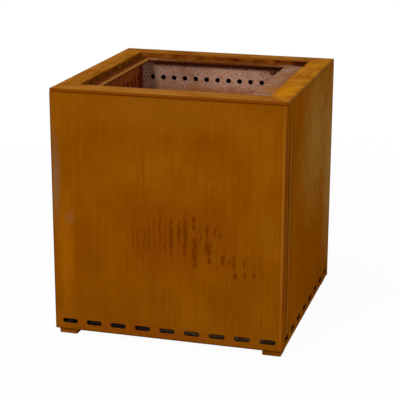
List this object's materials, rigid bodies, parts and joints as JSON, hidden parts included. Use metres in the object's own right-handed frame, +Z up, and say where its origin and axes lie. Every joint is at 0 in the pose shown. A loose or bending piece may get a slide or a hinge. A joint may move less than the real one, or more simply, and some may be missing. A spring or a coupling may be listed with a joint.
{
  "type": "smokeless fire pit",
  "caption": "Square double-walled weathering steel fire pit with bottom air slots, a perforated firebox, loose flame ring, lift-off rim frame, grate and ash pan.",
  "frame": {"origin": "on the ground under the middle of the body", "axes": "+X to the right of someone facing the front, +Y to the back, +Z up; the front faces -Y"},
  "size_m": [0.5, 0.5, 0.5385],
  "materials": {
    "weathering_steel": "hot-rolled weathering steel with an even orange-brown rust patina, darker run marks and streaks",
    "heat_scaled_steel": "weathering steel plate used inside the fire, dull pinkish brown to grey scale",
    "grate_steel": "dark oxidised mild steel bar",
    "pan_steel": "plain mild steel sheet, dull and lightly rusted",
    "fastener_steel": "blackened steel fasteners, rust in the corners"
  },
  "bodies": {
    "body": {"casing_wrap_front_right": "weathering_steel", "casing_wrap_back_left": "weathering_steel", "corner_angle_front_left": "weathering_steel", "corner_angle_back_right": "weathering_steel", "floor_plate": "weathering_steel", "foot_front_left": "weathering_steel", "foot_front_right": "weathering_steel", "foot_back_right": "weathering_steel", "foot_back_left": "weathering_steel", "firebox_front": "heat_scaled_steel", "firebox_right": "heat_scaled_steel", "firebox_back": "heat_scaled_steel", "firebox_left": "heat_scaled_steel", "hanger_bracket_front": "weathering_steel", "hanger_bracket_right": "weathering_steel", "hanger_bracket_back": "weathering_steel", "hanger_bracket_left": "weathering_steel", "hanger_bolt_front": "fastener_steel", "hanger_bolt_right": "fastener_steel", "hanger_bolt_back": "fastener_steel", "hanger_bolt_left": "fastener_steel", "hanger_washer_front": "fastener_steel", "hanger_washer_right": "fastener_steel", "hanger_washer_back": "fastener_steel", "hanger_washer_left": "fastener_steel", "hanger_nut_front": "fastener_steel", "hanger_nut_right": "fastener_steel", "hanger_nut_back": "fastener_steel", "hanger_nut_left": "fastener_steel", "grate_rest_front": "heat_scaled_steel", "grate_rest_right": "heat_scaled_steel", "grate_rest_back": "heat_scaled_steel", "grate_rest_left": "heat_scaled_steel"},
    "pan": {"ash_pan": "pan_steel", "ash_pan_handle_left": "pan_steel", "ash_pan_handle_right": "pan_steel"},
    "grate": {"fire_grate": "grate_steel"},
    "ring": {"flame_ring": "heat_scaled_steel"},
    "rim": {"rim_front": "weathering_steel", "rim_right": "weathering_steel", "rim_back": "weathering_steel", "rim_left": "weathering_steel", "rim_skirt_front": "weathering_steel", "rim_skirt_right": "weathering_steel", "rim_skirt_back": "weathering_steel", "rim_skirt_left": "weathering_steel", "rim_lug_front": "weathering_steel", "rim_lug_right": "weathering_steel", "rim_lug_back": "weathering_steel", "rim_lug_left": "weathering_steel", "rim_gusset_front_left": "weathering_steel", "rim_gusset_front_right": "weathering_steel", "rim_gusset_back_right": "weathering_steel", "rim_gusset_back_left": "weathering_steel"}
  },
  "joints": [
    {"name": "pan_lift", "type": "slide", "parent": "body", "child": "pan", "axis": [0, 0, 1], "range_m": [0, 0.53]},
    {"name": "grate_lift", "type": "slide", "parent": "pan", "child": "grate", "axis": [0, 0, 1], "range_m": [0, 0.45]},
    {"name": "ring_lift", "type": "slide", "parent": "grate", "child": "ring", "axis": [0, 0, 1], "range_m": [0, 0.1]},
    {"name": "rim_lift", "type": "slide", "parent": "ring", "child": "rim", "axis": [0, 0, 1], "range_m": [0, 0.1]}
  ]
}
